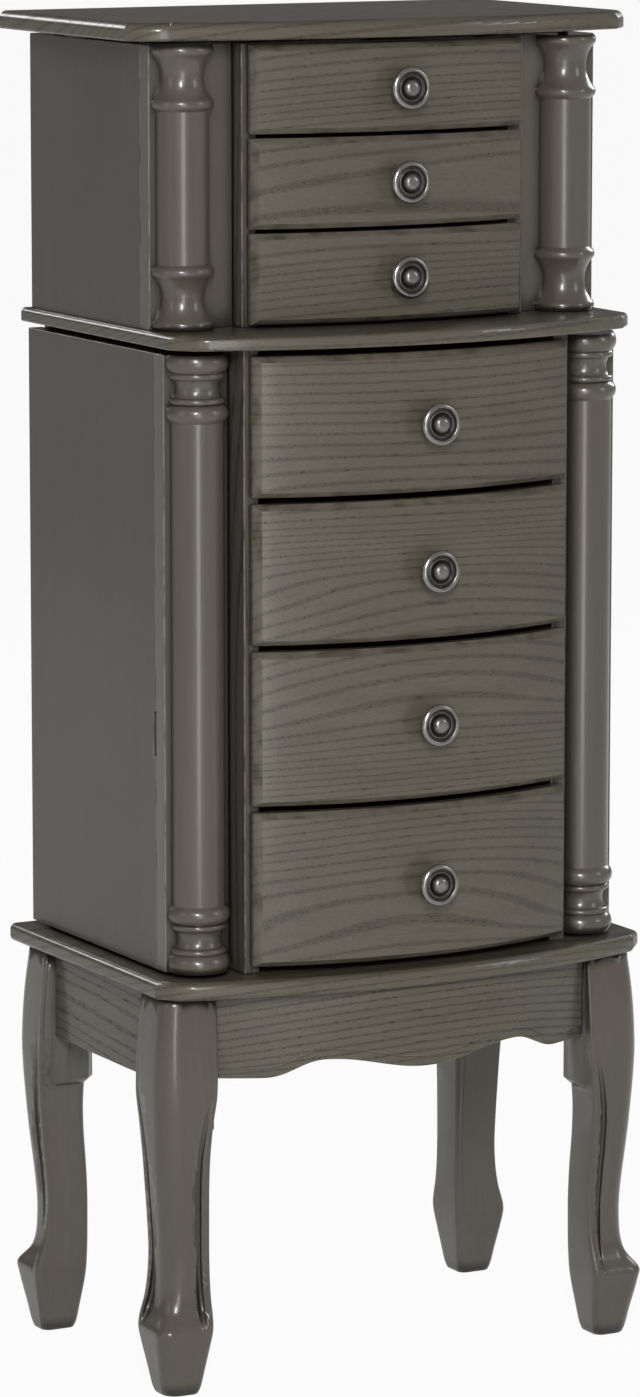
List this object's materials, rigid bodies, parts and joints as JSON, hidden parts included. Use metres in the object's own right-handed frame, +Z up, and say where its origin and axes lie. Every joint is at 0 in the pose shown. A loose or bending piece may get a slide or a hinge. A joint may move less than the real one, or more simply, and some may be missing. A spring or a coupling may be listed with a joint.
{
  "type": "jewelry armoire",
  "caption": "Tall jewelry armoire on cabriole legs: stacked bow-front drawers, half-round turned columns, swing-out side doors and a lift-up lid with mirror.",
  "frame": {"origin": "floor point under the middle of the overall box", "axes": "+Z up, +X to the right seen from the front, front faces -Y"},
  "size_m": [0.42, 0.3121, 1.016],
  "materials": {
    "stained_wood": "dark taupe grey stain over open grain, semi-gloss lacquer, grain upright or along the board",
    "stained_wood_across": "dark taupe grey stain over open grain, semi-gloss lacquer, grain along the width",
    "inner_wood": "stained inner boards, low sheen",
    "knob_metal": "antique pewter, polished high spots and dark recesses",
    "hinge_metal": "antique brass, satin",
    "hook_metal": "antique brass, polished",
    "mirror_glass": "silvered flat glass",
    "cushion_velvet": "charcoal velvet over foam",
    "bumper_felt": "dark felt",
    "magnet_plastic": "moulded magnet housing"
  },
  "bodies": {
    "case": {"back_apron": "stained_wood_across", "base_board": "stained_wood", "door_hinge_leaves": "hinge_metal", "door_magnets": "magnet_plastic", "front_apron": "stained_wood_across", "leg_back_left": "stained_wood", "leg_back_right": "stained_wood", "leg_front_left": "stained_wood", "leg_front_right": "stained_wood", "lid_bumpers": "bumper_felt", "lid_hinge_leaves": "hinge_metal", "lower_back_panel": "stained_wood", "lower_partitions": "stained_wood", "lower_runners": "inner_wood", "ring_cushion": "cushion_velvet", "side_apron_left": "stained_wood_across", "side_apron_right": "stained_wood_across", "tray_decks": "stained_wood", "tray_rail": "stained_wood", "upper_back_panel": "stained_wood", "upper_columns": "stained_wood", "upper_partitions": "stained_wood", "upper_runners": "inner_wood", "upper_sides": "stained_wood", "upper_stiles": "stained_wood", "waist_board": "stained_wood"},
    "lid": {"lid_board": "stained_wood", "lid_mirror": "mirror_glass", "lid_hinge_flaps": "hinge_metal"},
    "door_left": {"door_left_column": "stained_wood", "door_left_hinge_flaps": "hinge_metal", "door_left_hooks": "hook_metal", "door_left_panel": "stained_wood", "door_left_stile": "stained_wood"},
    "door_right": {"door_right_column": "stained_wood", "door_right_hinge_flaps": "hinge_metal", "door_right_hooks": "hook_metal", "door_right_panel": "stained_wood", "door_right_stile": "stained_wood"},
    "drawer_1": {"drawer_1_box": "inner_wood", "drawer_1_front": "stained_wood_across", "drawer_1_knob": "knob_metal"},
    "drawer_2": {"drawer_2_box": "inner_wood", "drawer_2_front": "stained_wood_across", "drawer_2_knob": "knob_metal"},
    "drawer_3": {"drawer_3_box": "inner_wood", "drawer_3_front": "stained_wood_across", "drawer_3_knob": "knob_metal"},
    "drawer_4": {"drawer_4_box": "inner_wood", "drawer_4_front": "stained_wood_across", "drawer_4_knob": "knob_metal"},
    "drawer_5": {"drawer_5_box": "inner_wood", "drawer_5_front": "stained_wood_across", "drawer_5_knob": "knob_metal"},
    "drawer_6": {"drawer_6_box": "inner_wood", "drawer_6_front": "stained_wood_across", "drawer_6_knob": "knob_metal"},
    "drawer_7": {"drawer_7_box": "inner_wood", "drawer_7_front": "stained_wood_across", "drawer_7_knob": "knob_metal"}
  },
  "joints": [
    {"name": "lid_lift", "type": "hinge", "parent": "case", "child": "lid", "pos_m": [0, 0.153, 0.9992], "axis": [-1, 0, 0], "range_deg": [0, 100]},
    {"name": "door_left_swing", "type": "hinge", "parent": "case", "child": "door_left", "pos_m": [-0.17775, 0.153, 0.5475], "axis": [0, 0, -1], "range_deg": [0, 105]},
    {"name": "door_right_swing", "type": "hinge", "parent": "case", "child": "door_right", "pos_m": [0.17775, 0.153, 0.5475], "axis": [0, 0, 1], "range_deg": [0, 105]},
    {"name": "drawer_1_slide", "type": "slide", "parent": "case", "child": "drawer_1", "axis": [0, -1, 0], "range_m": [0, 0.135]},
    {"name": "drawer_2_slide", "type": "slide", "parent": "case", "child": "drawer_2", "axis": [0, -1, 0], "range_m": [0, 0.135]},
    {"name": "drawer_3_slide", "type": "slide", "parent": "case", "child": "drawer_3", "axis": [0, -1, 0], "range_m": [0, 0.135]},
    {"name": "drawer_4_slide", "type": "slide", "parent": "case", "child": "drawer_4", "axis": [0, -1, 0], "range_m": [0, 0.165]},
    {"name": "drawer_5_slide", "type": "slide", "parent": "case", "child": "drawer_5", "axis": [0, -1, 0], "range_m": [0, 0.165]},
    {"name": "drawer_6_slide", "type": "slide", "parent": "case", "child": "drawer_6", "axis": [0, -1, 0], "range_m": [0, 0.165]},
    {"name": "drawer_7_slide", "type": "slide", "parent": "case", "child": "drawer_7", "axis": [0, -1, 0], "range_m": [0, 0.165]}
  ]
}
